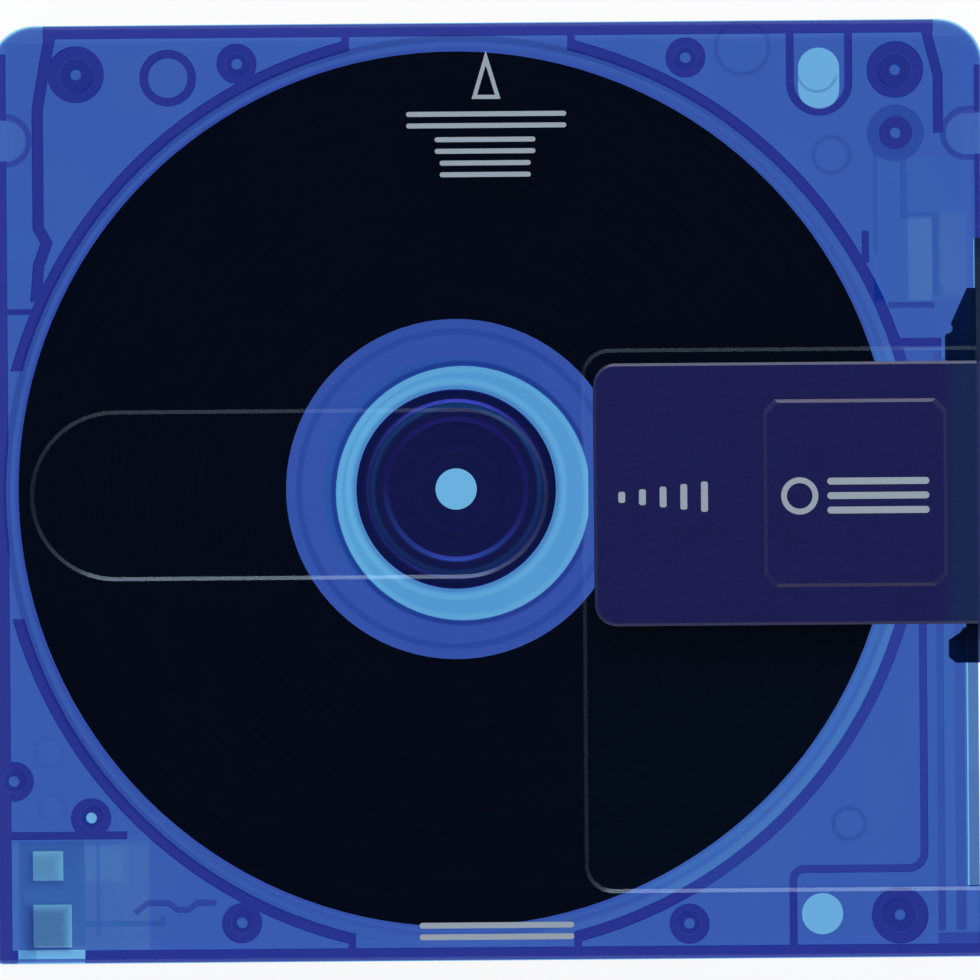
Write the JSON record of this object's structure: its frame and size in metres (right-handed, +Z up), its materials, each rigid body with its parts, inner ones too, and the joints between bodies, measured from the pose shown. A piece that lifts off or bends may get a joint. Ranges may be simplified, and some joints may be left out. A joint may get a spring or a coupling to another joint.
{
  "type": "minidisc",
  "caption": "Recordable data disc sealed in a flat see-through cartridge, with a sliding shutter over its head windows, a loose spinning disc with a steel hub, and a write-protect tab.",
  "frame": {"origin": "middle of the cartridge's underside, which lies on the ground", "axes": "+X to the shutter edge, +Y the way the cartridge goes into a player, +Z up out of the label side"},
  "size_m": [0.072, 0.068, 0.005],
  "materials": {
    "shell_blue": "clear moulded plastic, tinted blue, with a soft sheen",
    "disc_clear": "clear polished plastic",
    "recording_black": "near-black gloss",
    "clamping_steel": "pressed steel sheet, satin",
    "shutter_navy": "navy lacquer on thin metal sheet, satin",
    "slider_dark": "dark blue moulded plastic",
    "lever_blue": "milky translucent plastic",
    "tab_blue": "milky translucent plastic"
  },
  "bodies": {
    "cartridge": {"lower_shell": "shell_blue", "upper_shell": "shell_blue"},
    "disc": {"disc_substrate": "disc_clear", "recording_layer": "recording_black", "clamping_plate": "clamping_steel"},
    "shutter": {"shutter": "shutter_navy", "shutter_slider": "slider_dark"},
    "lock": {"lock_lever": "lever_blue"},
    "tab": {"write_protect_tab": "tab_blue"}
  },
  "joints": [
    {"name": "disc_spin", "type": "hinge", "parent": "cartridge", "child": "disc", "pos_m": [-0.0024, 0.0002, 0.002], "axis": [0, 0, 1], "continuous": true},
    {"name": "shutter_slide", "type": "slide", "parent": "cartridge", "child": "shutter", "axis": [0, -1, 0], "range_m": [0, 0.019]},
    {"name": "lock_turn", "type": "hinge", "parent": "cartridge", "child": "lock", "pos_m": [0.0297, 0.0258, 0.0025], "axis": [0, 0, -1], "range_deg": [0, 2], "stiffness_Nm_per_rad": 0.02},
    {"name": "tab_slide", "type": "slide", "parent": "cartridge", "child": "tab", "axis": [1, 0, 0], "range_m": [0, 0.0032]}
  ]
}
